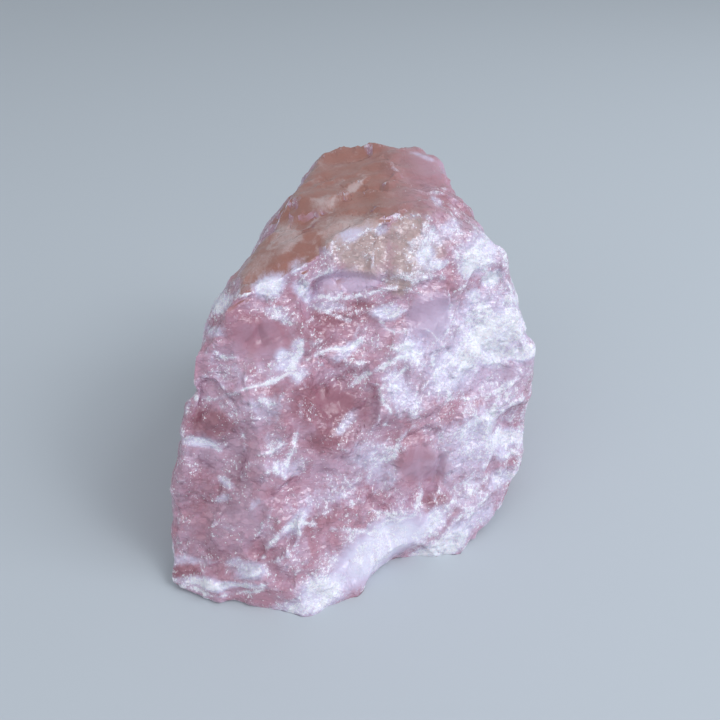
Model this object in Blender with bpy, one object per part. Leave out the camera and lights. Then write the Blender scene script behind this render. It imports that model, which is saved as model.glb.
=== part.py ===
"""A rough chunk of rose quartz: one solid, broken out of a massive vein and never cut or polished.

The chunk is made the way it broke. Its corners span a block. The faces of the block split into leaning facets
with steps between them, shells and ledges are broken out of it, and it stands on the flat break underneath.
Sizes are in millimetres until the mesh is made. +Z is up, +Y runs from the broad front break to the back.
"""

import functools
import math

import bmesh
import bpy
from mathutils import Matrix, Vector, noise

MM = 0.001

# Driving dimensions of the whole chunk.
WIDTH = 78.0
DEPTH = 89.0
HEIGHT = 68.0

# Fineness of the faceted solid.
EDGE_LENGTH = 1.3
HALVINGS = 7
MOST_TRIANGLES = 9400
EVENING_ROUNDS = 5

# Corners of the block as shares of half the width, half the depth and the whole height.
FOOT = (
    (-1.00, -0.85, 0.015), (-1.01, -0.76, 0.12), (-0.54, -0.96, 0.0), (-0.29, -1.03, 0.0),
    (-0.05, -0.92, 0.0), (0.53, -0.62, 0.0), (0.75, -0.50, 0.03), (0.84, -0.38, 0.06),
    (0.91, -0.34, 0.13), (0.95, 0.05, 0.045), (0.88, 0.51, 0.075), (0.65, 0.87, 0.0),
    (0.16, 1.00, 0.045), (-0.36, 0.97, 0.03), (-0.75, 0.76, 0.10), (-0.99, 0.23, 0.06),
    (-1.00, -0.28, 0.045),
)
WAIST = (
    (1.00, -0.08, 0.37), (0.95, 0.23, 0.41), (0.83, 0.64, 0.35), (0.47, 0.94, 0.44),
    (-0.16, 0.99, 0.38), (-0.68, 0.78, 0.41), (-0.91, 0.23, 0.38), (-0.89, -0.63, 0.34),
)
SHOULDER = (
    (0.935, -0.10, 0.57), (0.88, -0.035, 0.66), (0.81, 0.32, 0.68), (0.62, 0.74, 0.65),
    (-0.62, 0.51, 0.74), (-0.86, -0.55, 0.57), (-0.80, -0.53, 0.71),
)
CROWN = (
    (-0.65, -0.47, 0.83), (-0.53, -0.15, 0.87), (-0.39, -0.18, 0.90), (-0.16, -0.10, 0.94),
    (0.12, -0.08, 0.97), (0.37, 0.05, 0.97), (0.73, 0.03, 0.84), (0.64, 0.18, 0.88),
    (0.53, 0.32, 0.94), (0.44, 0.49, 0.98), (0.40, 0.75, 0.985), (0.17, 0.79, 1.0),
    (-0.10, 0.86, 0.985), (-0.21, 0.83, 0.97), (-0.34, 0.50, 0.935), (-0.43, 0.28, 0.91),
)

# Facets of the break, coarse and fine: how far apart, how high the lumps that they follow, how far they tilt
# by chance, how high the steps between them are, and a seed.
FACETS = (
    (14.0, 1.4, 0.10, 0.5, 14.4),
    (6.0, 0.8, 0.15, 0.3, 3.3),
)
# The lumps are this many facets across. The seeds pick how borders wander, how each facet leans and how high
# it lies.
FACETS_PER_LUMP = 1.9
WANDER_SEED = 3
LEAN_SEED = 9.1
STEP_SEED = 7.3
AXES = (Vector((1, 0, 0)), Vector((0, 1, 0)), Vector((0, 0, 1)))
# The break runs along this line, so that facets are longer that way by this much.
GRAIN = (0.80, 0.15, 0.58)
STRETCH = 1.7
# Softness of the steps, as a share of the facet.
STEP_SOFTNESS = 0.05
# Waves of the whole surface, and the two sizes of wave that the outlines of facets and scars wander by:
# how far, and how far apart.
SWELL = (0.5, 20.0)
WANDER = ((2.4, 11.0), (0.9, 3.5))

# Shells are smooth hollows. Place, the way it faces, length x width x depth, and its turn in degrees.
SHELLS = {
    "brow_hollow": ((1, -14, 49), (0.34, -0.84, 0.43), 24, 15, 2.2, 8),
    "heart_hollow": ((-5, -22, 36), (0.34, -0.84, 0.43), 15, 18, 2.4, 20),
    "left_bowl": ((-20, -24, 46), (0.1, -0.85, 0.45), 26, 15, 1.8, 15),
    "left_dish": ((-24, -31, 24), (-0.2, -0.93, 0.3), 30, 24, 1.4, 30),
    "middle_dish": ((-10, -31, 27), (0.3, -0.86, 0.4), 22, 18, 1.2, 0),
    "flank_bowl": ((25, -11, 34), (0.5, -0.8, 0.35), 18, 16, 1.6, 20),
    "flank_notch": ((33, -12, 20), (0.75, -0.65, 0.1), 13, 13, 3.4, 0),
    "slab_notch": ((8, -35, 0), (0.45, -0.85, 0.1), 18, 13, 3.2, 0),
    "top_dish": ((2, 15, 67), (-0.1, -0.05, 1.0), 34, 38, 1.6, 10),
    "top_left_dish": ((-15, 4, 62), (-0.3, -0.1, 0.95), 18, 30, 1.4, -20),
    "back_bowl": ((5, 42, 35), (0.1, 1.0, 0.1), 38, 30, 2.6, 15),
    "right_bowl": ((36, 12, 30), (1.0, 0.1, 0.1), 34, 26, 2.4, -25),
    "left_side_bowl": ((-35, 8, 30), (-1.0, 0.1, 0.2), 36, 28, 2.4, 20),
}

# Ledges end at a step on their upper side and run out to nothing on the lower side. Turned by 180 the step
# is below.
LEDGES = {
    "under_brow": ((-1, -12, 53), (0.34, -0.84, 0.43), 25, 12, 2.4, 4),
    "heart_side": ((-3, -23, 36), (0.34, -0.84, 0.43), 18, 12, 1.6, -75),
    "plate_step": ((1, -19, 43), (0.34, -0.84, 0.43), 20, 8, 1.8, 155),
    "plate_end": ((14, -14, 37), (0.5, -0.8, 0.35), 13, 11, 1.0, -140),
    "left_patch": ((-29, -26, 37), (-0.3, -0.9, 0.3), 11, 12, 1.3, 20),
    "left_arc": ((-24, -20, 51), (0.0, -0.83, 0.5), 18, 8, 0.9, 30),
    "white_patch": ((-16, -16, 58), (0.2, -0.8, 0.5), 10, 8, 1.0, 190),
    "mauve_facet": ((13, -9, 50), (0.34, -0.84, 0.43), 12, 11, 1.2, 20),
    "beige_break": ((9, -4, 61), (0.34, -0.7, 0.6), 15, 12, 1.2, 15),
    "window": ((12, -23, 22), (0.45, -0.82, 0.38), 12, 16, 1.3, -40),
    "slab_shelf": ((-5, -31, 22), (0.34, -0.84, 0.43), 30, 13, 2.6, 178),
    "slab_shelf_end": ((10, -27, 19), (0.4, -0.83, 0.39), 22, 12, 2.4, 192),
    "slab_crack": ((-18, -36, 16), (0.1, -0.9, 0.35), 16, 9, 1.6, 225),
    "flank_shoulder": ((25, -4, 48), (0.45, -0.8, 0.4), 16, 11, 1.1, 40),
    "flank_ledge": ((29, -8, 41), (0.5, -0.78, 0.35), 13, 9, 1.2, 130),
    "flank_foot": ((22, -19, 15), (0.48, -0.82, 0.3), 18, 14, 1.4, 150),
    "crest_sliver": ((23, 9, 61), (0.6, -0.4, 0.7), 26, 8, 1.3, -60),
}
# Width of the step at a ledge's rim as a share of the ledge, and how thick a layer a scar reaches into.
RIM = 0.14
LAYER = 12.0
# A scar that faces up or down this much is turned from the width of the chunk.
UPRIGHT = 0.98
# The chunk stands on whatever is lower than this.
FLAT = 0.3
# Edges sharper than this many degrees stay crisp.
CRISP = 25.0


def clear_scene():
    for obj in list(bpy.data.objects):
        bpy.data.objects.remove(obj)


def sorted_faces(bm):
    """The faces as lists of corner numbers, in a fixed order."""
    bm.verts.index_update()
    faces = []
    for face in bm.faces:
        numbers = [v.index for v in face.verts]
        first = numbers.index(min(numbers))
        faces.append(numbers[first:] + numbers[:first])
    return sorted(faces)


def hull_faces(corners):
    bm = bmesh.new()
    for corner in corners:
        bm.verts.new(corner)
    bmesh.ops.convex_hull(bm, input=bm.verts)
    faces = sorted_faces(bm)
    bm.free()
    return faces


def block_mesh():
    """The block: the hull of its corners, cut to small triangles."""
    corners = [(x * WIDTH / 2, y * DEPTH / 2, z * HEIGHT) for x, y, z in FOOT + WAIST + SHOULDER + CROWN]
    bm = bmesh.new()
    vertices = [bm.verts.new(corner) for corner in corners]
    for face in hull_faces(corners):
        bm.faces.new([vertices[i] for i in face])
    for loose in [v for v in vertices if not v.link_faces]:
        bm.verts.remove(loose)
    for _ in range(HALVINGS):
        long_edges = [e for e in bm.edges if e.calc_length() > EDGE_LENGTH]
        bmesh.ops.subdivide_edges(bm, edges=long_edges, cuts=1)
        bmesh.ops.triangulate(bm, faces=bm.faces)
    bmesh.ops.recalc_face_normals(bm, faces=bm.faces)
    return bm


def wandering(point):
    """Shifts a place to and fro, so that facets and scars get uneven outlines."""
    return point + sum((far * noise.noise_vector(point / apart) for far, apart in WANDER), Vector())


def along_grain(point):
    grain = Vector(GRAIN).normalized()
    return point - grain * point.dot(grain) * (1 - 1 / STRETCH)


@functools.lru_cache(maxsize=None)
def facet_plane(centre, size, relief, tilt, step):
    """The flat that a facet lies in: its height at its centre and how it leans, by lumps and by chance."""
    here = relief * noise.noise(Vector(centre) / size)
    lumps = Vector([relief * noise.noise((Vector(centre) + axis) / size) - here for axis in AXES])
    chance = 2 * noise.cell_vector(Vector(centre) * LEAN_SEED) - Vector((1, 1, 1))
    return here + step * noise.cell(Vector(centre) * STEP_SEED), lumps + tilt * chance


def facets(point, place, spacing, relief, tilt, step, seed):
    """Height of a surface broken into flat facets. Their borders follow the wandering place."""
    shift = Vector((seed, seed, seed))
    distances, cells = noise.voronoi(place / spacing + shift)
    height = total = 0.0
    for distance, cell in zip(distances, cells):
        share = math.exp((distances[0] - distance) / STEP_SOFTNESS)
        centre = (cell - shift) * spacing
        level, lean = facet_plane(tuple(centre), FACETS_PER_LUMP * spacing, relief, tilt, step)
        height += share * (level + (point - centre).dot(lean))
        total += share
    return height / total


def scar_axes(facing, turn):
    out = Vector(facing).normalized()
    level = Vector((0, 0, 1)).cross(out)
    across = Vector((1, 0, 0)) if abs(out.z) > UPRIGHT else level.normalized()
    turned = Matrix.Rotation(math.radians(turn), 3, out)
    return turned @ across, turned @ out.cross(across), out


def in_scar(point, at, facing, length, width, turn):
    """Place along and across a scar, both from -1 to 1 inside it, and how far above its plane."""
    across, up, out = scar_axes(facing, turn)
    offset = point - Vector(at)
    return offset.dot(across) / (length / 2), offset.dot(up) / (width / 2), offset.dot(out)


def scars(point, place):
    """How deep the shells and ledges go at this point. Their outlines follow the wandering place."""
    bowl = ledge = 0.0
    for at, facing, length, width, depth, turn in SHELLS.values():
        u, v, above = in_scar(place, at, facing, length, width, turn)
        if math.hypot(u, v) < 1 and abs(above) < LAYER:
            across, up, _ = in_scar(point, at, facing, length, width, turn)
            bowl = max(bowl, depth * (1 - across**2 - up**2))
    for at, facing, length, width, depth, turn in LEDGES.values():
        u, v, above = in_scar(place, at, facing, length, width, turn)
        rim = min(1.0, (1 - math.hypot(u, v)) / RIM)
        if rim > 0 and abs(above) < LAYER:
            up = in_scar(point, at, facing, length, width, turn)[1]
            ledge = max(ledge, depth * rim * (up + 1) / 2)
    return bowl + ledge


def smooth_normals(bm):
    """The way out of the block at every corner of its mesh, evened out across the block's edges."""
    bm.verts.ensure_lookup_table()
    normals = [v.normal.copy() for v in bm.verts]
    around = [sorted(e.other_vert(v).index for e in v.link_edges) for v in bm.verts]
    for _ in range(EVENING_ROUNDS):
        sums = [sum((normals[i] for i in near), out) for out, near in zip(normals, around)]
        normals = [out.normalized() for out in sums]
    return normals


def break_up(bm):
    """Moves the block's sides and top to the broken surface. The break underneath stays flat."""
    under = [f for f in bm.faces if all(v.co.z < FLAT for v in f.verts)]
    bmesh.ops.delete(bm, geom=under, context="FACES")
    bm.normal_update()
    moves = []
    for v, out in zip(bm.verts, smooth_normals(bm)):
        place = wandering(v.co)
        lift = SWELL[0] * noise.noise(v.co / SWELL[1]) - scars(v.co, place)
        for facet in FACETS:
            lift += facets(along_grain(v.co), along_grain(place), *facet)
        moves.append(out * lift)
    for v, move in zip(bm.verts, moves):
        on_ground = v.co.z < FLAT
        v.co += move
        v.co.z = 0.0 if on_ground else max(v.co.z, FLAT)
    rim = [e for e in bm.edges if e.is_boundary]
    bmesh.ops.holes_fill(bm, edges=rim)
    bmesh.ops.triangulate(bm, faces=bm.faces)


def quartz_material():
    material = bpy.data.materials.new("rose_quartz")
    material.use_nodes = True
    shader = material.node_tree.nodes["Principled BSDF"]
    shader.inputs["Base Color"].default_value = (0.50, 0.21, 0.24, 1.0)
    shader.inputs["Roughness"].default_value = 0.35
    shader.inputs["Metallic"].default_value = 0.0
    shader.inputs["Subsurface Weight"].default_value = 0.5
    return material


def stone_object(bm):
    """The broken block as one object, thinned to the triangles it may have."""
    mesh = bpy.data.meshes.new("rose_quartz")
    mesh.from_pydata([MM * v.co for v in bm.verts], [], sorted_faces(bm))
    bm.free()
    stone = bpy.data.objects.new("rose_quartz", mesh)
    bpy.context.scene.collection.objects.link(stone)
    thin = stone.modifiers.new("thin", "DECIMATE")
    thin.use_collapse_triangulate = True
    thin.ratio = min(1.0, MOST_TRIANGLES / len(mesh.polygons))
    bpy.context.view_layer.update()
    graph = bpy.context.evaluated_depsgraph_get()
    stone_mesh = bpy.data.meshes.new_from_object(stone.evaluated_get(graph))
    stone.modifiers.clear()
    stone.data = stone_mesh
    return stone


def stand_on_origin(stone):
    """Brings the chunk to its width, depth and height, with the origin in the middle of its footprint."""
    corners = [v.co for v in stone.data.vertices]
    low = Vector(map(min, zip(*corners)))
    high = Vector(map(max, zip(*corners)))
    span = high - low
    shift = Vector((-(low.x + high.x) / 2, -(low.y + high.y) / 2, -low.z))
    size = Matrix.Diagonal((MM * WIDTH / span.x, MM * DEPTH / span.y, MM * HEIGHT / span.z, 1.0))
    stone.data.transform(size @ Matrix.Translation(shift))


def build():
    clear_scene()
    noise.seed_set(WANDER_SEED)
    block = block_mesh()
    break_up(block)
    stone = stone_object(block)
    stand_on_origin(stone)
    stone.data.materials.clear()
    stone.data.materials.append(quartz_material())
    stone.data.shade_smooth()
    stone.data.set_sharp_from_angle(angle=math.radians(CRISP))


build()
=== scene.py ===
import functools
import math

import bmesh
import bpy
import numpy as np
from mathutils import Matrix, Vector, noise


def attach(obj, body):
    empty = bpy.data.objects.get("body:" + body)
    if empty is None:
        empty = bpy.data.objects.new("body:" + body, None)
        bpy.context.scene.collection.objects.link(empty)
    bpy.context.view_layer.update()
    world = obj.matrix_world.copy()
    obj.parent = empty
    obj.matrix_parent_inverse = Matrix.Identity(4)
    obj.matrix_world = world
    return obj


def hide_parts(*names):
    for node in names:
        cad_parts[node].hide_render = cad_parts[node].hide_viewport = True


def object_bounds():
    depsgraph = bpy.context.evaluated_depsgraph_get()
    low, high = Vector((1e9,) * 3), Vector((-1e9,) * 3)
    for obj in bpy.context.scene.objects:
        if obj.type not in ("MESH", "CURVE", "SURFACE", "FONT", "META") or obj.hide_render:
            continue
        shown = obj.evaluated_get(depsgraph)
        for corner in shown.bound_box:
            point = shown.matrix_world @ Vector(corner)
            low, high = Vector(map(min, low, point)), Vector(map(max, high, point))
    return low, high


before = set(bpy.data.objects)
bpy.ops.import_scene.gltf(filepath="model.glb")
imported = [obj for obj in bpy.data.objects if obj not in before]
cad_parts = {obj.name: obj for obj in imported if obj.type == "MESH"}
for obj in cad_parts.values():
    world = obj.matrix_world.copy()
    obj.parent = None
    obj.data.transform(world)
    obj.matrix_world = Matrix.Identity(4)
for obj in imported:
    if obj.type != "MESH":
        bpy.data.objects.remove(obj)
cad_low, cad_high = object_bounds()


# The chunk: massive rose quartz, broken out of its vein with a hammer and left as it broke. Its broad front
# is one rough break with leaning facets, steps and shell-shaped scars. It stands on the flat break
# underneath. Sizes and places are in millimetres.
MM = 0.001
WIDTH = 78.0
DEPTH = 89.0
HEIGHT = 68.0

# Corners of the block as shares of half the width, half the depth and the whole height.
FOOT = (
    (-1.00, -0.85, 0.015), (-1.01, -0.76, 0.12), (-0.54, -0.96, 0.0), (-0.29, -1.03, 0.0),
    (-0.05, -0.92, 0.0), (0.53, -0.62, 0.0), (0.75, -0.50, 0.03), (0.84, -0.38, 0.06),
    (0.91, -0.34, 0.13), (0.95, 0.05, 0.045), (0.88, 0.51, 0.075), (0.65, 0.87, 0.0),
    (0.16, 1.00, 0.045), (-0.36, 0.97, 0.03), (-0.75, 0.76, 0.10), (-0.99, 0.23, 0.06),
    (-1.00, -0.28, 0.045),
)
WAIST = (
    (1.00, -0.08, 0.37), (0.95, 0.23, 0.41), (0.83, 0.64, 0.35), (0.47, 0.94, 0.44),
    (-0.16, 0.99, 0.38), (-0.68, 0.78, 0.41), (-0.91, 0.23, 0.38), (-0.89, -0.63, 0.34),
)
SHOULDER = (
    (0.935, -0.10, 0.57), (0.88, -0.035, 0.66), (0.81, 0.32, 0.68), (0.62, 0.74, 0.65),
    (-0.62, 0.51, 0.74), (-0.86, -0.55, 0.57), (-0.80, -0.53, 0.71),
)
CROWN = (
    (-0.65, -0.47, 0.83), (-0.53, -0.15, 0.87), (-0.39, -0.18, 0.90), (-0.16, -0.10, 0.94),
    (0.12, -0.08, 0.97), (0.37, 0.05, 0.97), (0.73, 0.03, 0.84), (0.64, 0.18, 0.88),
    (0.53, 0.32, 0.94), (0.44, 0.49, 0.98), (0.40, 0.75, 0.985), (0.17, 0.79, 1.0),
    (-0.10, 0.86, 0.985), (-0.21, 0.83, 0.97), (-0.34, 0.50, 0.935), (-0.43, 0.28, 0.91),
)

# The mesh: its longest edge on the front break and elsewhere, how often long edges are halved, and the size
# of slivers that are taken out. Faces that lean forwards more than FRONT_LEAN belong to the front.
FRONT_EDGE = 0.78
OTHER_EDGE = 1.4
HALVINGS = 8
SLIVER = 0.01
FRONT_LEAN = -0.5
# Rounds of evening that blunt the straight edges of the block, and that turn its normals into outward ways.
BLUNTING = 6
OUTWARD_ROUNDS = 14
# Two facets meet in a sharp edge from this angle on, in degrees.
SHARP_ANGLE = 17

# Facets of the break: how far apart, how high the lumps that they follow, how far they tilt by chance, how
# high the steps are, and a seed. Hackles are the smallest ones.
FACETS = ((14.0, 1.4, 0.10, 0.5, 14.4), (6.0, 0.8, 0.15, 0.3, 3.3))
HACKLES = ((3.0, 0.3, 0.16, 0.12, 2.7),)
FACETS_PER_LUMP = 1.9
WANDER_SEED = 3
LEAN_SEED = 9.1
STEP_SEED = 7.3
AXES = (Vector((1, 0, 0)), Vector((0, 1, 0)), Vector((0, 0, 1)))
# The grain of the break, and how much longer facets are along it.
GRAIN = Vector((0.80, 0.15, 0.58)).normalized()
STRETCH = 1.7
STEP_SOFTNESS = 0.05
# How high and how far apart the broad swells are, and how far outlines stray and over what distance.
SWELL = (0.5, 20.0)
WANDER = ((2.4, 11.0), (0.9, 3.5))

# The way the broad front faces.
FRONT = (0.34, -0.84, 0.43)

# Shells are smooth hollows. Place, the way it faces, length x width x depth, and its turn in degrees.
SHELLS = {
    "brow_hollow": ((1, -14, 49), FRONT, 24, 15, 2.2, 8),
    "heart_hollow": ((-5, -22, 36), FRONT, 15, 18, 2.4, 20),
    "left_bowl": ((-20, -24, 46), (0.1, -0.85, 0.45), 26, 15, 1.8, 15),
    "left_dish": ((-24, -31, 24), (-0.2, -0.93, 0.3), 30, 24, 1.4, 30),
    "middle_dish": ((-10, -31, 27), (0.3, -0.86, 0.4), 22, 18, 1.2, 0),
    "flank_bowl": ((25, -11, 34), (0.5, -0.8, 0.35), 18, 16, 1.6, 20),
    "flank_notch": ((33, -12, 20), (0.75, -0.65, 0.1), 13, 13, 3.4, 0),
    "slab_notch": ((8, -35, 0), (0.45, -0.85, 0.1), 18, 13, 3.2, 0),
    "top_dish": ((2, 15, 67), (-0.1, -0.05, 1.0), 34, 38, 1.6, 10),
    "top_left_dish": ((-15, 4, 62), (-0.3, -0.1, 0.95), 18, 30, 1.4, -20),
    "back_bowl": ((5, 42, 35), (0.1, 1.0, 0.1), 38, 30, 2.6, 15),
    "right_bowl": ((36, 12, 30), (1.0, 0.1, 0.1), 34, 26, 2.4, -25),
    "left_side_bowl": ((-35, 8, 30), (-1.0, 0.1, 0.2), 36, 28, 2.4, 20),
}

# Ledges end at a step on their upper side and run out to nothing on the lower side. Turned by 180 the step is
# below.
LEDGES = {
    "under_brow": ((-1, -12, 53), FRONT, 25, 12, 2.4, 4),
    "heart_side": ((-3, -23, 36), FRONT, 18, 12, 1.6, -75),
    "plate_step": ((1, -19, 43), FRONT, 20, 8, 1.8, 155),
    "plate_end": ((14, -14, 37), (0.5, -0.8, 0.35), 13, 11, 1.0, -140),
    "left_patch": ((-29, -26, 37), (-0.3, -0.9, 0.3), 11, 12, 1.3, 20),
    "left_arc": ((-24, -20, 51), (0.0, -0.83, 0.5), 18, 8, 0.9, 30),
    "white_patch": ((-16, -16, 58), (0.2, -0.8, 0.5), 10, 8, 1.0, 190),
    "mauve_facet": ((13, -9, 50), FRONT, 12, 11, 1.2, 20),
    "beige_break": ((9, -4, 61), (0.34, -0.7, 0.6), 15, 12, 1.2, 15),
    "window": ((12, -23, 22), (0.45, -0.82, 0.38), 12, 16, 1.3, -40),
    "slab_shelf": ((-5, -31, 22), FRONT, 30, 13, 2.6, 178),
    "slab_shelf_end": ((10, -27, 19), (0.4, -0.83, 0.39), 22, 12, 2.4, 192),
    "slab_crack": ((-18, -36, 16), (0.1, -0.9, 0.35), 16, 9, 1.6, 225),
    "flank_shoulder": ((25, -4, 48), (0.45, -0.8, 0.4), 16, 11, 1.1, 40),
    "flank_ledge": ((29, -8, 41), (0.5, -0.78, 0.35), 13, 9, 1.2, 130),
    "flank_foot": ((22, -19, 15), (0.48, -0.82, 0.3), 18, 14, 1.4, 150),
    "crest_sliver": ((23, 9, 61), (0.6, -0.4, 0.7), 26, 8, 1.3, -60),
}
# A ledge's step as a share of its size, how thick a layer a scar reaches, from where on a scar faces
# straight up, and below what height the block is flat underneath.
RIM = 0.14
LAYER = 12.0
UPRIGHT = 0.98
FLAT = 0.3

# Marks: how sharply patches end, at what share of their size, and how much they stray.
PATCH_FADE = 1.3
PATCH_END = 1.2
PATCH_WANDER = 0.7
# How far the white of a line and of a step reaches, the share of its height from which a step counts in
# full, and how much a lower one is held back.
LINE_REACH = 1.1
STEP_REACH = 1.6
FULL_STEP = 0.9
LOW_STEP = 1.5
# The mesh is cut again along lines stronger than LINE_START, down to edges of this length.
LINE_START = 0.2
LINE_EDGE = 0.35
LINE_CUTS = 2
# Rounds of evening against which a raised edge is measured.
RIDGE_ROUNDS = 4


# Where the break is marked, on its broad front. Frost is bruised white quartz, and on the right flank and its
# lower rim also painted light where they face the window lamp; deep is dark pink where the quartz is
# clearest, and under ledges and in hollows also painted shade; smooth is glassy, mauve and beige are tints
# and veil is lilac haze. Place, length, width, turn in degrees, strength.
FROST_AND_PAINTED_RIM_LIGHT = {
    "white_patch": ((-16, -15, 57), 7, 5, 25, 1),
    "white_tail": ((-12, -11, 59), 5, 3, 30, 0.5),
    "flank_upper": ((25, -1, 57), 10, 15, -50, 0.75),
    "flank_bright": ((29, -6, 41), 12, 21, -70, 1),
    "flank_middle": ((19, -12, 36), 16, 13, 20, 0.75),
    "flank_low": ((25, -16, 23), 13, 17, -60, 0.65),
    "flank_rim": ((34, -10, 16), 6, 18, 80, 0.9),
    "flank_foot": ((24, -22, 12), 12, 10, 20, 0.42),
    "beige_rough": ((13, -6, 56), 11, 10, 20, 0.3),
    "shoulder_specks": ((17, -1, 62), 5, 13, -70, 0.55),
    "mauve_foot": ((11, -13, 42), 9, 7, 0, 0.75),
    "plate": ((9, -19, 36), 9, 13, 45, 0.7),
    "triangle": ((-2, -23, 31), 7, 3, 30, 0.6),
    "band": ((3, -25, 24), 8, 13, 70, 0.5),
    "window_side": ((5, -25, 20), 7, 9, 60, 0.5),
    "crackle": ((5, -10, 49), 4, 9, 80, 0.75),
    "brow_side": ((-5, -13, 52), 11, 3, -20, 0.55),
    "brow_start": ((-10, -13, 55), 3, 7, 60, 0.8),
    "junction": ((-13, -20, 44), 8, 5, 30, 0.7),
    "junction_top": ((-11, -19, 47), 4, 3, 40, 0.6),
    "ridge_side": ((-11, -22, 42), 5, 4, 30, 0.65),
    "middle_end": ((-2, -16, 44), 8, 3, 20, 0.6),
    "rim_high": ((-26, -14, 53), 5, 3, 30, 0.8),
    "rim_low": ((-27, -19, 50), 3, 5, 50, 0.6),
    "slab_smooth": ((4, -33, 7), 28, 12, 12, 1),
    "slab_right": ((14, -29, 8), 15, 6, 22, 0.9),
    "slab_end": ((20, -28, 3), 11, 3, 28, 0.8),
    "slab_foot": ((18, -29, 2), 28, 8, 26, 0.95),
    "tip_foot": ((-8, -43, 2), 18, 6, 12, 0.85),
    "slab_rough": ((-7, -41, 4), 16, 8, 15, 0.85),
    "foot_band": ((-28, -41, 4), 17, 3, -3, 0.95),
    "foot_cluster": ((-22, -39, 8), 7, 5, 20, 0.8),
    "foot_cluster_left": ((-25, -37, 8), 4, 3, 20, 0.6),
    "side_streak": ((-30, -27, 30), 7, 3, -20, 0.8),
    "spot_a": ((-25, -31, 23), 2, 4, 60, 0.6),
    "spot_b": ((-27, -31, 20), 4, 2, 10, 0.55),
    "spot_c": ((-19, -34, 20), 3, 2, 30, 0.5),
    "crack_side": ((-14, -30, 26), 5, 9, 70, 0.55),
    "shelf_rim": ((-11, -36, 17), 9, 3, 20, 0.75),
    "crest_tip": ((15, 27, 67), 5, 2, -30, 0.55),
    "crest_dot": ((16, 8, 64), 3, 3, 60, 0.6),
    "lower_veil": ((-5, -30, 18), 22, 8, 0, 0.38),
    "left_low": ((-36, -35, 5), 3, 14, 90, 0.6),
    "bowl_top": ((-15, -17, 52), 3, 8, 60, 0.45),
    # The broad flank patches are bruised quartz and partly painted light where the right flank faces the
    # window lamp.
    "flank_all": ((26, -6, 42), 21, 53, -80, 0.55),
    "flank_low_all": ((25, -17, 22), 17, 28, -75, 0.5),
    "net": ((-17, -26, 38), 11, 7, -5, 0.5),
    "wisp": ((-16, -28, 31), 5, 8, 60, 0.4),
    "shoulder_a": ((14, -4, 59), 5, 4, 20, 1),
    "shoulder_b": ((16, -5, 57), 3, 6, 80, 0.8),
    "shoulder_c": ((22, -3, 54), 5, 5, 0, 1),
    "shoulder_d": ((27, 0, 50), 6, 4, 10, 1),
    "shoulder_e": ((24, -4, 48), 4, 5, 60, 0.9),
    # Painted light: these two patches whiten the right flank for the light it catches.
    "side_painted_light": ((27, -6, 36), 6, 9, 80, 1),
    "rim_painted_light": ((34, -6, 36), 4, 12, 85, 1),
    "star": ((-14, -20, 45), 4, 3, 0, 0.8),
    # Painted light: the low rim patches whiten the lower right rim for the light it catches.
    "low_rim_a": ((21, -28, 2), 13, 4, 28, 0.9),
    "low_rim_b": ((27, -22, 5), 5, 11, 70, 0.6),
    "low_rim_c": ((32, -16, 9), 5, 13, 80, 0.7),
    "low_rim_d": ((33, -13, 14), 5, 9, 85, 0.7),
    "beige_specks": ((-1, -7, 64), 6, 3, 10, 0.6),
    "beige_specks_right": ((5, -4, 63), 4, 3, 20, 0.65),
}

# Deep marks: dark pink where the quartz is clearest, and painted shade under ledges and in hollows.
DEEP_AND_PAINTED_SHADE = {
    "under_brow": ((-4, -13, 50), 16, 7, -10, 0.8),
    "brow_pocket": ((2, -11, 50), 6, 8, 60, 0.9),
    "heart": ((-6, -22, 35), 12, 20, 65, 1),
    "heart_low": ((-5, -26, 30), 12, 7, 0, 0.9),
    "left_dark": ((-28, -26, 34), 8, 10, 60, 0.9),
    "left_low": ((-31, -30, 21), 14, 12, 10, 0.6),
    "left_mid": ((-22, -31, 25), 9, 8, 10, 0.4),
    "foot_left": ((-28, -36, 8), 12, 11, 20, 0.5),
    "foot_corner": ((-35, -37, 3), 8, 6, -20, 0.8),
    "bowl": ((-19, -19, 49), 20, 10, -20, 0.6),
    "bowl_right": ((-9, -16, 49), 14, 9, -30, 0.6),
    "under_ridge": ((-14, -26, 39), 16, 9, 20, 0.5),
    "shelf_under": ((-6, -34, 16), 14, 5, 5, 0.55),
    "window": ((14, -22, 20), 10, 16, 70, 0.55),
    "window_low": ((16, -25, 12), 8, 6, 0, 0.8),
    "slab_pink": ((22, -26, 5), 7, 4, 30, 0.7),
}

SMOOTH = {
    "window": ((14, -22, 20), 9, 15, 70, 1),
    "mauve_facet": ((14, -9, 47), 11, 11, 0, 1),
    "brow": ((-1, -9, 56), 13, 5, 8, 1),
    "slab_smooth": ((4, -33, 7), 28, 11, 12, 1),
    "bowl": ((-18, -19, 48), 17, 10, -10, 0.7),
    "heart": ((-5, -21, 35), 7, 11, 70, 0.8),
    "crest": ((18, 24, 65), 21, 15, -40, 0.5),
}

MAUVE = {
    "mauve_facet": ((14, -9, 47), 12, 11, 0, 1),
    "brow": ((-1, -9, 56), 16, 6, 8, 1),
    "window": ((14, -22, 19), 10, 16, 70, 0.4),
    "lower_middle": ((-4, -28, 21), 22, 13, 0, 0.3),
}

BEIGE = {
    "brow_right": ((9, -8, 56), 9, 9, 20, 0.9),
    "lump": ((1, -6, 62), 17, 13, -20, 1),
    "lump_right": ((10, -3, 63), 14, 9, 25, 0.8),
    "lump_foot": ((12, -5, 59), 16, 11, 25, 0.95),
    "left_band": ((-20, -10, 58), 10, 8, 50, 0.5),
    "wisp": ((-1, 14, 65), 10, 2, 18, 0.8),
    "wisp_low": ((-6, 8, 64), 7, 4, 30, 0.6),
    "slope": ((-14, -2, 61), 13, 3, 35, 0.7),
    "slope_low": ((-18, -9, 59), 8, 3, 35, 0.5),
}

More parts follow.
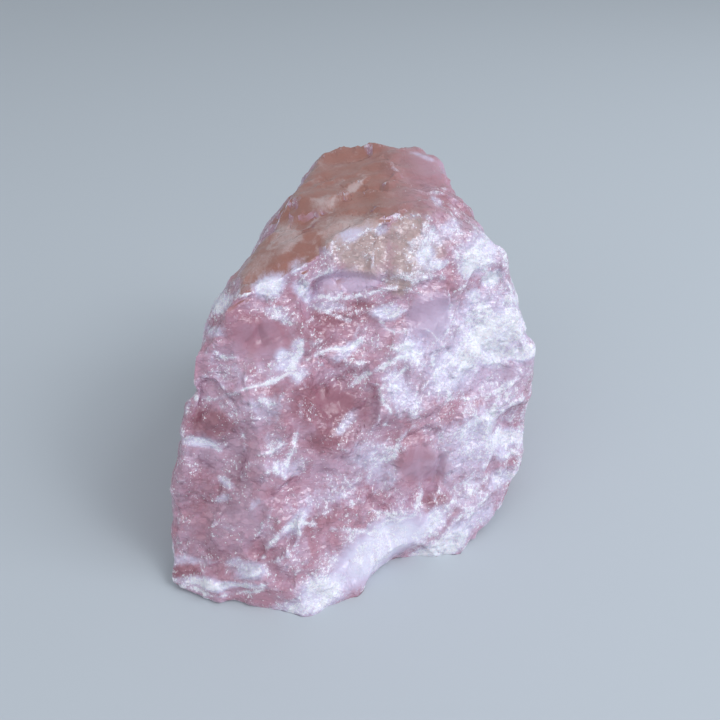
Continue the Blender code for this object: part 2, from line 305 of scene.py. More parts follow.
VEIL = {
    "flank": ((28, -7, 38), 38, 22, 78, 0.9),
    "flank_low": ((25, -18, 20), 24, 20, 78, 0.75),
    "shoulder": ((25, -1, 57), 15, 16, -30, 0.8),
    "slab_all": ((6, -32, 8), 40, 12, 14, 0.8),
    "bowl": ((-22, -23, 43), 16, 9, -5, 0.5),
    "bowl_right": ((-11, -18, 49), 11, 4, -25, 0.6),
    "centre": ((-18, -28, 32), 12, 13, 60, 0.3),
    "shelf": ((-11, -38, 11), 14, 9, 10, 0.4),
    "brow": ((-1, -9, 56), 16, 6, 8, 1),
    "rim_low": ((26, -22, 8), 9, 20, 75, 0.7),
}

# Cracks and broken rims that stay white: strength, then places along them.
LINES = {
    "ridge": (1.0, (-23.5, -25, 40), (-20.5, -25, 41.5), (-16.5, -23.5, 41.5),
        (-12.5, -21.5, 42.5), (-11.5, -22, 42.5), (-10, -22.5, 40)),
    "ridge_left": (0.85, (-30.5, -24, 38.5), (-27, -24.5, 38.5), (-23.5, -25, 40)),
    "middle": (1.0, (-9.5, -19.5, 44), (-7.5, -18, 44.5), (-5, -17, 45), (-3, -16.5, 44.5),
        (-1.5, -15.5, 44), (0.5, -14, 45)),
    "left_arc": (0.9, (-28.5, -19, 48), (-26, -22, 47.5), (-24.5, -21.5, 46), (-22.5, -21.5, 46)),
    "plate_rim": (1.0, (4.5, -19.5, 37), (7.5, -16.5, 37.5), (12, -13.5, 41)),
    "plate_low": (0.8, (-3.5, -19.5, 36), (-1, -18, 37), (1, -17, 38.5), (4, -17, 40),
        (7, -15.5, 41), (12, -13, 41.5)),
    "plate_middle": (0.7, (2, -18, 36), (5, -17.5, 38), (7.5, -16, 38.5)),
    "plate_side": (0.9, (4.5, -19.5, 37), (5, -21, 35), (6.5, -21.5, 33.5), (5.5, -21.5, 30)),
    "flank_thin": (0.6, (14.5, -10, 44), (15, -12, 42), (15.5, -12.5, 39), (15.5, -14.5, 36)),
    "crack_down": (0.9, (-11.5, -26.5, 32), (-12, -27.5, 30), (-12.5, -28.5, 28.5),
        (-13.5, -29, 27), (-14, -31.5, 25.5), (-14, -30.5, 22.5)),
    "crack_up": (0.5, (-11.5, -26.5, 32), (-10.5, -25.5, 34.5), (-11, -24.5, 37), (-10, -23, 40)),
    "spike": (1.0, (13.5, -23, 12.5), (13, -25, 12.5), (12, -27.5, 12.5), (11.5, -28.5, 11.5)),
    "shelf_edge": (1.0, (-18.5, -38, 10), (-17.5, -37.5, 12), (-15.5, -37, 14.5), (-14, -36, 16),
        (-12.5, -35.5, 16.5), (-10.5, -35.5, 17), (-8.5, -34.5, 15.5)),
    "slab_edge": (0.9, (-5, -34, 13.5), (-1, -33, 12), (3, -32, 10), (4.5, -31, 11),
        (6, -30.5, 11.5), (8.5, -30, 11.5), (11.5, -28.5, 11.5)),
    "slab_bottom": (0.9, (4, -34.5, 2), (13.5, -29.5, 1), (17.5, -29, 1.5), (21, -28, 2),
        (23.5, -26, 3)),
    "brow_low": (0.9, (-7.5, -12, 53.5), (-4.5, -12, 53), (-1, -10.5, 52.5), (3, -9.5, 53),
        (5, -9, 53.5), (7.5, -8.5, 53.5)),
    "brow_low_left": (0.8, (-10, -12, 52.5), (-7, -14, 51.5), (-4, -13.5, 50), (-1.5, -13, 48.5)),
    "brow_line": (0.5, (-3.5, -10.5, 58.5), (-1, -9.5, 57.5), (1, -9, 55.5)),
    "top_line": (0.5, (-21, -6, 57.5), (-17.5, -6, 59.5), (-15, -6, 60.5), (-12.5, -5.5, 61.5),
        (-10, -5.5, 62.5)),
    "foot_edge": (1.0, (-36, -38.5, 1.5), (-31.5, -40, 2), (-26.5, -41, 2), (-21, -41, 3.5),
        (-18.5, -42, 5)),
    "foot_seam": (0.7, (-31.5, -38.5, 3), (-27, -40.5, 4), (-22.5, -41, 4.5), (-18.5, -41.5, 6)),
    "side_step": (0.9, (-32, -27, 31.5), (-30, -27, 30.5), (-28, -27, 30.5), (-26.5, -27.5, 28.5)),
    "wedge": (0.7, (-26, -25, 38), (-24, -26.5, 36.5), (-22.5, -27.5, 35), (-21.5, -27.5, 32),
        (-21.5, -28.5, 29.5)),
    "window_left": (0.7, (8.5, -22.5, 26.5), (7.5, -24, 24.5), (6, -24.5, 22.5), (3, -25.5, 21.5),
        (2, -26, 18.5)),
    "window_right": (0.6, (13.5, -19.5, 26.5), (15, -21, 23), (17.5, -20.5, 16.5), (17.5, -21.5, 13.5)),
    "window_top": (0.7, (8.5, -22.5, 26.5), (10, -22, 28.5), (11.5, -21, 29)),
    "flank_line": (0.6, (16, -17.5, 32.5), (19.5, -15, 31.5), (23.5, -13, 29.5), (28, -11, 29.5)),
    "flank_edge_line": (0.7, (30, -10.5, 29.5), (28.5, -13.5, 27), (28, -15, 23), (27.5, -17, 19)),
    "notch_line": (0.8, (32, -10, 24), (34.5, -8.5, 19), (34.5, -10.5, 16)),
    "crest_line": (0.5, (16.5, 26, 67), (17, 19.5, 65), (17, 8, 63.5), (15.5, -0.5, 63.5),
        (14, -2.5, 61)),
    "mauve_low": (0.9, (4.5, -11.5, 47.5), (6, -12, 46), (8, -12, 45.5), (10, -11.5, 45.5),
        (12, -10.5, 45.5), (13.5, -10, 45), (15, -10, 44), (16, -11, 43)),
    "mauve_side": (0.6, (18, -6.5, 51.5), (18.5, -6.5, 48.5), (18.5, -7.5, 46), (18, -9.5, 44)),
    "mauve_top": (0.6, (8, -8.5, 52.5), (10, -8, 53), (12.5, -8, 51.5), (15, -8, 50.5)),
    "bulge_top": (0.9, (16, -13.5, 37), (19.5, -11.5, 37.5), (22, -10.5, 38), (25.5, -8.5, 38),
        (29.5, -5.5, 38.5)),
    "bulge_low": (0.8, (27, -12, 29), (29, -11, 29.5), (31.5, -10, 31), (34, -9, 32)),
    "stalk": (1.0, (-10.5, -19, 47.5), (-10.5, -19, 45.5), (-11.5, -20, 44.5), (-12.5, -21, 43)),
    "hang_a": (0.5, (-16.5, -24, 40), (-16.5, -26, 38.5), (-16.5, -27, 35.5), (-16.5, -27.5, 33)),
    "hang_b": (0.4, (-15.5, -24, 40), (-15.5, -26, 38.5), (-15.5, -26.5, 35.5)),
    "hang_c": (0.6, (-24, -25, 39), (-23, -26.5, 38), (-22, -27, 36.5), (-21, -27.5, 34)),
}


def hull_faces(corners):
    """The faces of the hull of these corners, as lists of corner numbers in a fixed order."""
    bm = bmesh.new()
    for corner in corners:
        bm.verts.new(corner)
    bmesh.ops.convex_hull(bm, input=bm.verts)
    bm.verts.index_update()
    faces = []
    for face in bm.faces:
        numbers = [v.index for v in face.verts]
        first = numbers.index(min(numbers))
        faces.append(numbers[first:] + numbers[:first])
    bm.free()
    return sorted(faces)


def cut_to_triangles(bm):
    bmesh.ops.triangulate(bm, faces=[f for f in bm.faces if len(f.verts) > 3])


def without_slivers(bm, shortest):
    bmesh.ops.dissolve_degenerate(bm, edges=bm.edges, dist=shortest)
    cut_to_triangles(bm)


def block_mesh():
    """The block: the hull of its corners, open underneath, cut to triangles that are finer on the front."""
    corners = [(x * WIDTH / 2, y * DEPTH / 2, z * HEIGHT) for x, y, z in FOOT + WAIST + SHOULDER + CROWN]
    bm = bmesh.new()
    vertices = [bm.verts.new(corner) for corner in corners]
    for face in hull_faces(corners):
        if max(corners[i][2] for i in face) > FLAT:
            bm.faces.new([vertices[i] for i in face])
    for loose in [v for v in vertices if not v.link_faces]:
        bm.verts.remove(loose)
    bmesh.ops.recalc_face_normals(bm, faces=bm.faces)
    for _ in range(HALVINGS):
        bm.normal_update()
        long_edges = []
        for edge in bm.edges:
            on_front = any(f.normal.y < FRONT_LEAN for f in edge.link_faces)
            if edge.calc_length() > (FRONT_EDGE if on_front else OTHER_EDGE):
                long_edges.append(edge)
        bmesh.ops.subdivide_edges(bm, edges=long_edges, cuts=1)
        bmesh.ops.triangulate(bm, faces=bm.faces)
    without_slivers(bm, SLIVER)
    mesh = bpy.data.meshes.new("rose_quartz_chunk")
    bm.to_mesh(mesh)
    bm.free()
    return mesh


def coordinates(mesh):
    values = np.empty(len(mesh.vertices) * 3)
    mesh.vertices.foreach_get("co", values)
    return values.reshape(-1, 3)


def vertex_normals(mesh):
    values = np.empty(len(mesh.vertices) * 3)
    mesh.vertex_normals.foreach_get("vector", values)
    return values.reshape(-1, 3)


def edge_ends(mesh):
    values = np.empty(len(mesh.edges) * 2, int)
    mesh.edges.foreach_get("vertices", values)
    return values.reshape(-1, 2)


def evened(values, ends, rounds):
    """Averages each vertex's value with its neighbours' a number of times."""
    values = values.reshape(len(values), -1)
    count = np.bincount(ends.ravel(), minlength=len(values)) + 1.0
    for _ in range(rounds):
        total = values.copy()
        for column in range(values.shape[1]):
            total[:, column] += np.bincount(ends[:, 0], values[ends[:, 1], column], len(values))
            total[:, column] += np.bincount(ends[:, 1], values[ends[:, 0], column], len(values))
        values = total / count[:, None]
    return values


def wandering(point):
    """Shifts a place to and fro, so that facets and scars get uneven outlines."""
    return point + sum((far * noise.noise_vector(point / apart) for far, apart in WANDER), Vector())


def along_grain(point):
    return point - GRAIN * point.dot(GRAIN) * (1 - 1 / STRETCH)


@functools.lru_cache(maxsize=None)
def facet_plane(centre, size, relief, tilt, step):
    """The flat that a facet lies in: its height at its centre, and how it leans."""
    here = relief * noise.noise(Vector(centre) / size)
    lumps = Vector([relief * noise.noise((Vector(centre) + axis) / size) - here for axis in AXES])
    chance = 2 * noise.cell_vector(Vector(centre) * LEAN_SEED) - Vector((1, 1, 1))
    return here + step * noise.cell(Vector(centre) * STEP_SEED), lumps + tilt * chance


def facets(point, place, spacing, relief, tilt, step, seed):
    """Height of a surface broken into flat facets, how near the closest step is, and how high."""
    shift = Vector((seed, seed, seed))
    distances, cells = noise.voronoi(place / spacing + shift)
    height = total = 0.0
    heights = []
    for distance, cell in zip(distances, cells):
        share = math.exp((distances[0] - distance) / STEP_SOFTNESS)
        centre = (cell - shift) * spacing
        level, lean = facet_plane(tuple(centre), FACETS_PER_LUMP * spacing, relief, tilt, step)
        heights.append(level + (point - centre).dot(lean))
        height += share * heights[-1]
        total += share
    gap = (distances[1] - distances[0]) * spacing / 2
    return height / total, gap, heights[0] - heights[1]


def scar_axes(facing, turn):
    out = Vector(facing).normalized()
    level = Vector((0, 0, 1)).cross(out)
    across = Vector((1, 0, 0)) if abs(out.z) > UPRIGHT else level.normalized()
    turned = Matrix.Rotation(math.radians(turn), 3, out)
    return turned @ across, turned @ out.cross(across), out


def in_scar(points, at, facing, length, width, turn):
    """Place along and across a scar, both from -1 to 1 inside it, and which points its layer reaches."""
    across, up, out = scar_axes(facing, turn)
    offset = points - np.array(at, float)
    u = offset @ np.array(across) / (length / 2)
    v = offset @ np.array(up) / (width / 2)
    return u, v, np.abs(offset @ np.array(out)) < LAYER


def scars(points, places):
    """How deep the shells and ledges go at each point. Their outlines follow the wandering places."""
    bowl = np.zeros(len(points))
    ledge = np.zeros(len(points))
    for at, facing, length, width, depth, turn in SHELLS.values():
        u, v, near = in_scar(places, at, facing, length, width, turn)
        across, up, _ = in_scar(points, at, facing, length, width, turn)
        inside = near & (np.hypot(u, v) < 1)
        bowl = np.maximum(bowl, np.where(inside, depth * (1 - across**2 - up**2), 0))
    for at, facing, length, width, depth, turn in LEDGES.values():
        u, v, near = in_scar(places, at, facing, length, width, turn)
        up = in_scar(points, at, facing, length, width, turn)[1]
        rim = np.clip((1 - np.hypot(u, v)) / RIM, 0, 1)
        ledge = np.maximum(ledge, np.where(near, depth * rim * (up + 1) / 2, 0))
    return bowl + ledge


def patches(points, places, marks):
    """How strongly each point lies in one of these marked patches, fading towards the patch's outline."""
    strength = np.zeros(len(points))
    for at, length, width, turn, most in marks.values():
        u, v, near = in_scar(places, at, FRONT, length, width, turn)
        fade = np.clip(PATCH_FADE * (PATCH_END - np.hypot(u, v)), 0, 1)
        strength = np.maximum(strength, np.where(near, most * fade, 0))
    return strength


def line_worth(points, lines):
    """How near each point is to one of these broken lines: its strength on it, down to 0 at LINE_REACH."""
    worth = np.zeros(len(points))
    for strength, *course in lines.values():
        for here, there in zip(course, course[1:]):
            step = np.subtract(there, here)
            share = np.clip((points - here) @ step / (step @ step), 0, 1)
            gap = np.linalg.norm(points - here - share[:, None] * step, axis=1)
            worth = np.maximum(worth, strength * (1 - gap / LINE_REACH))
    return worth


def mark(mesh, name, values):
    """Stores one number per vertex under this name."""
    mesh.attributes.new(name, "FLOAT", "POINT").data.foreach_set("value", values)


def refine(mesh, lines):
    """Cuts the mesh finer along the lines."""
    bm = bmesh.new()
    bm.from_mesh(mesh)
    for _ in range(LINE_CUTS):
        worth = line_worth(np.array([v.co / MM for v in bm.verts]), lines)
        bm.verts.index_update()
        near = [e for e in bm.edges if max(worth[v.index] for v in e.verts) > LINE_START]
        long_edges = [e for e in near if e.calc_length() > LINE_EDGE * MM]
        bmesh.ops.subdivide_edges(bm, edges=long_edges, cuts=1)
        cut_to_triangles(bm)
    bm.to_mesh(mesh)
    bm.free()


noise.seed_set(WANDER_SEED)
mesh = block_mesh()
ends = edge_ends(mesh)
start = coordinates(mesh)
outward = evened(vertex_normals(mesh), ends, OUTWARD_ROUNDS)
outward /= np.linalg.norm(outward, axis=1)[:, None]

points = [Vector(p) for p in start]
wandered = [wandering(p) for p in points]
pairs = [(along_grain(p), along_grain(q)) for p, q in zip(points, wandered)]
lift = np.array([SWELL[0] * noise.noise(p / SWELL[1]) for p in points])
lift -= scars(start, np.array(wandered))
step_gap = np.full(len(start), np.inf)
for facet in FACETS + HACKLES:
    height, gap, step = np.array([facets(*pair, *facet) for pair in pairs]).T
    lift += height
    highest = facet[3]
    worth = np.clip(np.abs(step) / (FULL_STEP * highest), 0, 1)
    step_gap = np.minimum(step_gap, gap + LOW_STEP * (1 - worth))

# Evened by half, so that steps don't follow the corners of the mesh.
lift = (lift + evened(lift, ends, 1)[:, 0]) / 2
broken = evened(start, ends, BLUNTING) + outward * lift[:, None]
on_ground = start[:, 2] < FLAT
broken[:, 2] = np.where(on_ground, 0.0, np.maximum(broken[:, 2], FLAT))
low, high = broken.min(0), broken.max(0)
size = np.array(cad_high) - np.array(cad_low)
placed = (broken - low) / (high - low) * size + np.array(cad_low)
mesh.vertices.foreach_set("co", placed.ravel())
mesh.update()

mark(mesh, "step", np.clip(1 - step_gap / STEP_REACH, 0, 1))
refine(mesh, LINES)
ends = edge_ends(mesh)
spots = coordinates(mesh) / MM
strayed = np.array([wandering(Vector(p)) for p in spots])
strayed = spots + PATCH_WANDER * (strayed - spots)
MARKS = {"frost_and_painted_light": FROST_AND_PAINTED_RIM_LIGHT, "deep_and_painted_shade": DEEP_AND_PAINTED_SHADE, "smooth": SMOOTH, "mauve": MAUVE, "beige": BEIGE, "veil": VEIL}
for name, marks in MARKS.items():
    mark(mesh, name, patches(spots, strayed, marks))
mark(mesh, "line", line_worth(spots, LINES))
normals = evened(vertex_normals(mesh), ends, 1)
offsets = evened(spots, ends, RIDGE_ROUNDS) - spots
mark(mesh, "ridge", -(offsets * normals).sum(1))

bm = bmesh.new()
bm.from_mesh(mesh)
bmesh.ops.holes_fill(bm, edges=[e for e in bm.edges if e.is_boundary])
cut_to_triangles(bm)
without_slivers(bm, SLIVER * MM)
bmesh.ops.recalc_face_normals(bm, faces=bm.faces)
bm.to_mesh(mesh)
bm.free()

chunk = bpy.data.objects.new("rose_quartz_chunk", mesh)
bpy.context.scene.collection.objects.link(chunk)
mesh.shade_smooth()
mesh.set_sharp_from_angle(angle=math.radians(SHARP_ANGLE))


def linear(*steps):
    """A colour given in 0-255 steps of a screen, as shader values."""
    shares = [step / 255 for step in steps]
    return tuple(x / 12.92 if x <= 0.04045 else ((x + 0.055) / 1.055) ** 2.4 for x in shares) + (1.0,)


def fill(tree, node, sockets):
    """Gives a node's sockets plain values, or links them to the outputs of other nodes."""
    for key, value in dict(sockets).items():
        if isinstance(value, bpy.types.NodeSocket):
            tree.links.new(value, node.inputs[key])
        else:
            node.inputs[key].default_value = value
    return node


def add(tree, kind, sockets=(), **settings):
    made = tree.nodes.new("ShaderNode" + kind)
    for name, value in settings.items():
        setattr(made, name, value)
    return fill(tree, made, sockets)


def calc(tree, operation, *values):
    return add(tree, "Math", enumerate(values), operation=operation).outputs[0]


def rise(tree, value, low, high, top=1.0):
    """0 below low, top above high, and a soft rise between."""
    sockets = {"Value": value, "From Min": low, "From Max": high, "To Max": top}
    return add(tree, "MapRange", sockets, interpolation_type="SMOOTHSTEP").outputs["Result"]


def blend(tree, factor, first, second):
    mixer = add(tree, "Mix", {0: factor, 6: first, 7: second}, data_type="RGBA")
    return mixer.outputs[2]


def fractal(tree, place, scale, detail, roughness, warp=0.0):
    sockets = {"Vector": place, "Scale": scale, "Detail": detail, "Roughness": roughness, "Distortion": warp}
    return add(tree, "TexNoise", sockets).outputs["Fac"]


def stretched(tree, place, turn, scale):
    sockets = {"Vector": place, "Rotation": turn, "Scale": scale}
    return add(tree, "Mapping", sockets).outputs["Vector"]


def group(name, inputs, outputs):
    """An empty shader node group, its input sockets by name, and its output node."""
    tree = bpy.data.node_groups.new(name, "ShaderNodeTree")
    for socket, kind in inputs.items():
        tree.interface.new_socket(socket, in_out="INPUT", socket_type=kind)
    for socket in outputs:
        tree.interface.new_socket(socket, in_out="OUTPUT", socket_type="NodeSocketFloat")
    return tree, tree.nodes.new("NodeGroupInput").outputs, tree.nodes.new("NodeGroupOutput")


VECTOR = "NodeSocketVector"
VALUE = "NodeSocketFloat"

# Directions in which frost tears and flecks lie: turn, then how much the pattern is squeezed along each axis.
TORN = ((0.3, 0.9, 0.2), (1.0, 0.5, 0.8))
CROSSED = ((1.2, -0.5, 0.9), (1.0, 0.4, 0.9))
# Nets of hairlines: their scale per millimetre, how thin and how wavy the lines are, and how white at most.
NETS = ((0.28, 26.0, 1.5, 1.0), (0.75, 12.0, 1.0, 0.95), (1.3, 9.0, 0.8, 0.9), (2.6, 6.5, 0.6, 0.85))
# More frost than this makes no denser net. The white starts where a net's lines are stronger than NET_START.
MOST_WEAR = 0.61
NET_START = 0.75
# Flecks: turn and scale per millimetre of each swarm, and how long they are drawn out.
FLECKS = (((0.2, 0.5, 0.1), 2.0), ((0.9, -0.6, 0.8), 1.5), ((-0.4, 1.3, 0.3), 2.6))
FLECK_STRETCH = (1.0, 0.22, 1.0)


def splinter_group():
    """Small flat splinters: each cell leans its own way, so that single ones catch the light."""
    tree, given, result = group("splinters", {"Place": VECTOR, "Size": VALUE, "Lean": VALUE}, ["Height"])
    drift = add(tree, "TexNoise", {"Vector": given["Place"], "Scale": 0.6, "Detail": 2.0}).outputs["Color"]
    moved = add(tree, "VectorMath", {0: drift, 1: given["Place"]}, operation="ADD").outputs[0]
    scale = calc(tree, "DIVIDE", 1.0, given["Size"])
    cell = add(tree, "TexVoronoi", {"Vector": moved, "Scale": scale}).outputs["Position"]
    chance = add(tree, "TexWhiteNoise", {"Vector": cell}, noise_dimensions="3D").outputs["Color"]
    lean = add(tree, "VectorMath", {0: chance, 1: (0.5, 0.5, 0.5)}, operation="SUBTRACT").outputs[0]
    offset = add(tree, "VectorMath", {0: moved, 1: cell}, operation="SUBTRACT").outputs[0]
    height = add(tree, "VectorMath", {0: offset, 1: lean}, operation="DOT_PRODUCT").outputs["Value"]
    tree.links.new(calc(tree, "MULTIPLY", height, given["Lean"]), result.inputs["Height"])
    return tree


def hairlines(tree, place, scale, thinness, warp):
    """Thin winding lines, 1 along their middle."""
    drift = calc(tree, "SUBTRACT", fractal(tree, place, scale, 3.0, 0.5, warp), 0.5)
    away = calc(tree, "MULTIPLY", calc(tree, "ABSOLUTE", drift), thinness)
    return calc(tree, "SUBTRACT", 1.0, calc(tree, "MINIMUM", away, 1.0))


def frost_group():
    """Bruised quartz: mist first, then a net of white hairlines that gets denser with the amount."""
    tree, given, result = group("frost_and_painted_light", {"Place": VECTOR, "Amount": VALUE}, ["Mist", "White"])
    slanted = stretched(tree, given["Place"], *TORN)
    crossed = stretched(tree, given["Place"], *CROSSED)
    ragged = calc(tree, "SUBTRACT", fractal(tree, slanted, 0.7, 7.0, 0.72, 0.5), 0.5)
    lines = 0.0
    for laid, (scale, thinness, warp, most) in zip((given["Place"], slanted, crossed, slanted), NETS):
        net = hairlines(tree, laid, scale, thinness, warp)
        lines = calc(tree, "MAXIMUM", lines, calc(tree, "MULTIPLY", net, most))
    wear = calc(tree, "MULTIPLY_ADD", ragged, 1.1, given["Amount"])
    tree.links.new(rise(tree, wear, 0.10, 0.72), result.inputs["Mist"])
    few = calc(tree, "MINIMUM", given["Amount"], MOST_WEAR)
    wear = calc(tree, "MULTIPLY_ADD", ragged, 1.3, few)
    wear = calc(tree, "MULTIPLY_ADD", calc(tree, "SUBTRACT", lines, NET_START), 1.3, wear)
    tree.links.new(rise(tree, wear, 0.58, 0.68), result.inputs["White"])
    return tree


def fleck_and_painted_glint_group():
    """Short white strokes in swarms, where splinters stand up out of the break, and partly painted glints of
    light on them.
    """
    tree, given, result = group("flecks", {"Place": VECTOR, "Swarm": VALUE}, ["Mask"])
    masks = []
    for turn, scale in FLECKS:
        laid = stretched(tree, given["Place"], turn, FLECK_STRETCH)
        masks.append(fractal(tree, laid, scale, 3.0, 0.55))
    best = calc(tree, "MAXIMUM", masks[0], calc(tree, "MAXIMUM", masks[1], masks[2]))
    best = calc(tree, "MULTIPLY_ADD", given["Swarm"], 0.16, best)
    tree.links.new(rise(tree, best, 0.755, 0.795), result.inputs["Mask"])
    return tree


material = bpy.data.materials.new("rose_quartz")
material.use_nodes = True
tree = material.node_tree
shader = tree.nodes["Principled BSDF"]
inside = add(tree, "TexCoord").outputs["Object"]
place = add(tree, "VectorMath", {0: inside, "Scale": 1 / MM}, operation="SCALE").outputs[0]


def stored(name):
    return add(tree, "Attribute", attribute_name=name).outputs["Fac"]


def use(group_tree, sockets):
    return add(tree, "Group", sockets, node_tree=group_tree).outputs


# Colours of the quartz, and the brown of the painted shade on its top, in 0-255 steps of a screen.
CLEAR_PINK = (190, 140, 158)
MILKY_PINK = (200, 162, 184)
PALE_PINK = (198, 168, 190)
DEEP_PINK_AND_SHADE_TINT = (156, 98, 112)
MAUVE_TINT = (196, 170, 196)
LILAC_HAZE = (213, 188, 213)
TOP_SHADE_BROWN = (158, 106, 90)
BEIGE_TINT = (195, 168, 166)
FROST_TINT = (218, 210, 236)
THICK_FROST = (240, 237, 253)
MIST_TINT = (222, 213, 238)
WHITE = (250, 248, 255)

# Scales of the patterns, per millimetre: broad milkiness, clouds in it, swarms of splinters, and the crumpled
# outlines of patches, which are calmer on smooth facets.
BROAD_SCALE = 0.06
CLOUD_SCALE = 0.16
SWARM_SCALE = 0.22
CRUMPLE_SCALE = 0.9
CRUMPLE_LAY = ((0.5, 0.2, 0.9), (1.0, 0.5, 0.8))

# Splinters in relief: how they lie, then the size and lean of coarse and fine ones.
SPLINTER_LAY = ((0.0, 0.6, 0.2), (0.6, 1.0, 1.0))
COARSE = (1.6, 0.42)
FINE = (0.6, 0.55)

smooth = rise(tree, stored("smooth"), 0.3, 0.6)
rough = calc(tree, "SUBTRACT", 1.0, smooth)
broad = fractal(tree, place, BROAD_SCALE, 3.0, 0.55)
cloud = fractal(tree, place, CLOUD_SCALE, 5.0, 0.6, 0.8)
swarm = fractal(tree, place, SWARM_SCALE, 2.0, 0.5)

crumple = fractal(tree, stretched(tree, place, *CRUMPLE_LAY), CRUMPLE_SCALE, 7.0, 0.75)
crumple = calc(tree, "SUBTRACT", crumple, 0.5)
crumple = calc(tree, "MULTIPLY", crumple, calc(tree, "MULTIPLY_ADD", smooth, -0.75, 1.0))


def tinted(colour, amount, tint):
    return blend(tree, amount, colour, linear(*tint))


def torn(value, ragged, low, high, top=1.0):
    """A marked patch with a ragged outline."""
    return rise(tree, calc(tree, "MULTIPLY_ADD", crumple, ragged, value), low, high, top)


# Clear pink in the depth, milky pink over it, and the tints of the marked places.
colour = blend(tree, rise(tree, cloud, 0.38, 0.64), linear(*CLEAR_PINK), linear(*MILKY_PINK))
colour = tinted(colour, rise(tree, broad, 0.50, 0.62, 0.5), PALE_PINK)
# Painted shade: the deep mark darkens the pink under ledges and in hollows, besides the quartz's own deep
# pink.
colour = tinted(colour, torn(stored("deep_and_painted_shade"), 1.2, 0.1, 1.0, 0.9), DEEP_PINK_AND_SHADE_TINT)
colour = tinted(colour, torn(stored("mauve"), 1.0, 0.25, 0.6, 0.8), MAUVE_TINT)
# Haze and frost are held back on deep pink and on the painted shade.
deep_and_shaded = rise(tree, stored("deep_and_painted_shade"), 0.1, 0.7)
hazy = calc(tree, "MULTIPLY_ADD", cloud, 1.2, calc(tree, "SUBTRACT", stored("veil"), 0.72))
hazy = calc(tree, "MULTIPLY_ADD", deep_and_shaded, -0.5, hazy)
colour = tinted(colour, torn(hazy, 1.0, 0.15, 0.85, 0.9), LILAC_HAZE)

# Painted shade: where the top faces up it is tinted a darker warm brown for the shade it lies in, with beige
# lumps in it and beige clouds over that shaded top.
geometry = add(tree, "NewGeometry").outputs["Normal"]
facing = add(tree, "SeparateXYZ", {0: geometry}).outputs["Z"]
height = add(tree, "SeparateXYZ", {0: place}).outputs["Z"]
across = add(tree, "SeparateXYZ", {0: place}).outputs["X"]
painted_top_shade = calc(tree, "MULTIPLY", rise(tree, facing, 0.62, 0.85), rise(tree, height, 52.0, 58.0))
painted_top_shade = calc(tree, "MULTIPLY", painted_top_shade, calc(tree, "SUBTRACT", 1.0, rise(tree, across, 2.0, 20.0, 0.75)))
colour = tinted(colour, calc(tree, "MULTIPLY", painted_top_shade, 0.92), TOP_SHADE_BROWN)
beige = calc(tree, "ADD", stored("beige"), calc(tree, "MULTIPLY", painted_top_shade, rise(tree, cloud, 0.5, 0.66, 0.4)))
colour = tinted(colour, torn(beige, 0.9, 0.2, 0.9), BEIGE_TINT)

# Frost gathers in the marked places, along steps and lines, and on every raised edge. On the right flank and
# its lower rim the marked frost is partly painted light.
edge = calc(tree, "MULTIPLY", stored("step"), rise(tree, swarm, 0.38, 0.62))
raised = rise(tree, stored("ridge"), 0.02, 0.25, 0.25)
thick = rise(tree, stored("frost_and_painted_light"), 0.6, 1.0, 0.25)
line = rise(tree, stored("line"), 0.05, 0.95, 0.44)
FROST_SHARES = (
    (stored("veil"), 0.12), (stored("frost_and_painted_light"), 0.40), (thick, 1.0), (edge, 0.28), (raised, rough),
    (smooth, -0.25), (painted_top_shade, -0.3), (deep_and_shaded, -0.12), (line, 1.0),
)
amount = 0.0
for source, share in FROST_SHARES:
    amount = calc(tree, "MULTIPLY_ADD", source, share, amount)
frost_and_painted_light = use(frost_group(), {"Place": place, "Amount": amount})
# These frost tints also paint light on the right flank and its lower rim.
colour = tinted(colour, torn(stored("frost_and_painted_light"), 1.1, 0.1, 0.8, 0.85), FROST_TINT)
colour = tinted(colour, torn(stored("frost_and_painted_light"), 0.5, 0.6, 0.95, 0.9), THICK_FROST)
# Painted highlight: white flecks also stand in for glints of light on the splinters.
fleck_and_painted_glint = use(fleck_and_painted_glint_group(), {"Place": place, "Swarm": calc(tree, "ADD", swarm, amount)})["Mask"]
# Flecks are held back on the painted shade of the top.
away_from_top_shade = calc(tree, "MULTIPLY_ADD", painted_top_shade, -0.8, 0.8)
fleck_and_painted_glint = calc(tree, "MULTIPLY", fleck_and_painted_glint, calc(tree, "MULTIPLY", rough, away_from_top_shade))
colour = tinted(colour, calc(tree, "MULTIPLY", frost_and_painted_light["Mist"], 0.7), MIST_TINT)
core = rise(tree, stored("line"), 0.70, 0.92, 0.85)
white = calc(tree, "MAXIMUM", calc(tree, "MAXIMUM", frost_and_painted_light["White"], core), fleck_and_painted_glint)
colour = tinted(colour, white, WHITE)

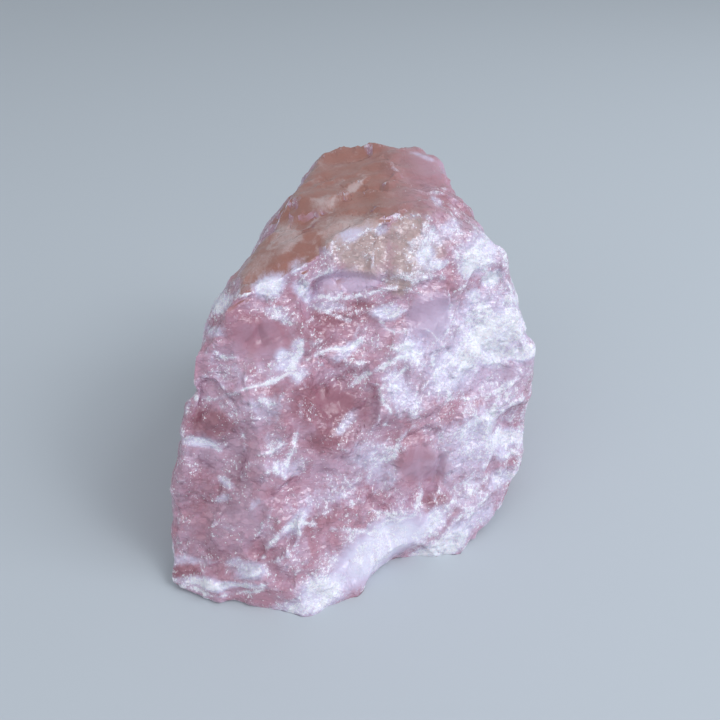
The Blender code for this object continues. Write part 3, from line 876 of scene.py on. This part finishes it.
# Frost and smooth facets are a little duller than fresh splinters, and splinters stand up in relief.
dull = calc(tree, "MULTIPLY_ADD", frost_and_painted_light["Mist"], 0.20, calc(tree, "MULTIPLY_ADD", smooth, 0.12, 0.26))
along = stretched(tree, place, *SPLINTER_LAY)
splinters = splinter_group()
coarse, fine = (
    use(splinters, {"Place": along, "Size": size, "Lean": lean})["Height"] for size, lean in (COARSE, FINE)
)
calm = calc(tree, "MINIMUM", calc(tree, "ADD", smooth, painted_top_shade), 1.0)
relief = calc(tree, "MULTIPLY", calc(tree, "ADD", coarse, fine), calc(tree, "MULTIPLY_ADD", calm, -0.8, 1.0))
bump = add(tree, "Bump", {"Height": relief, "Distance": MM, "Strength": 1.0})
fill(tree, shader, {
    "Base Color": colour,
    "Roughness": dull,
    "Normal": bump.outputs["Normal"],
    "Coat Normal": bump.outputs["Normal"],
    "Coat Weight": 0.25,
    "Coat Roughness": 0.15,
    "Subsurface Weight": 0.2,
    "Subsurface Radius": (1.0, 0.6, 0.6),
    "Subsurface Scale": 0.0005,
    "IOR": 1.54,
})
mesh.materials.append(material)

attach(chunk, "root")
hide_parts("rose_quartz")


# The ground: a plain pale sheet.
bpy.ops.mesh.primitive_plane_add(size=3.0, location=(0, 0, 0))
floor = bpy.context.object
floor.name = "floor"
paper = bpy.data.materials.new("pale_ground")
paper.use_nodes = True
paper.node_tree.nodes["Principled BSDF"].inputs["Base Color"].default_value = (0.54, 0.58, 0.62, 1.0)
paper.node_tree.nodes["Principled BSDF"].inputs["Roughness"].default_value = 0.6
floor.data.materials.append(paper)


# Light: a window-like soft light from the right, and a dim even sky. The lamps point at the chunk's middle.
AIM = Vector((0, 0, 0.03))


def soft_light(name, place, size, watts, colour):
    lamp = bpy.data.lights.new(name, "AREA")
    lamp.size = size
    lamp.energy = watts
    lamp.color = colour
    holder = bpy.data.objects.new(name, lamp)
    holder.location = place
    holder.rotation_euler = (AIM - Vector(place)).to_track_quat("-Z", "Y").to_euler()
    bpy.context.scene.collection.objects.link(holder)


soft_light("window", (0.75, -0.25, 0.75), 0.8, 6.6, (0.88, 0.93, 1.0))
soft_light("pane", (0.62, -0.34, 0.66), 0.2, 0.9, (0.95, 0.97, 1.0))
soft_light("fill", (-0.5, -0.6, 0.5), 0.8, 1.2, (1.0, 0.97, 0.96))

world = bpy.data.worlds.new("room")
world.use_nodes = True
world.node_tree.nodes["Background"].inputs["Color"].default_value = (0.80, 0.86, 0.92, 1.0)
world.node_tree.nodes["Background"].inputs["Strength"].default_value = 0.56
bpy.context.scene.world = world
bpy.context.scene.view_settings.view_transform = "Standard"

# The camera looks down on the front from close by.
camera_data = bpy.data.cameras.new("camera")
camera_data.sensor_width = 36.0
camera_data.lens = 35.0
camera_data.clip_start = 0.001
camera = bpy.data.objects.new("camera", camera_data)
camera.location = (0.0005, -0.1280, 0.120)
camera.rotation_euler = (math.radians(55), 0, 0)
bpy.context.scene.collection.objects.link(camera)
bpy.context.scene.camera = camera
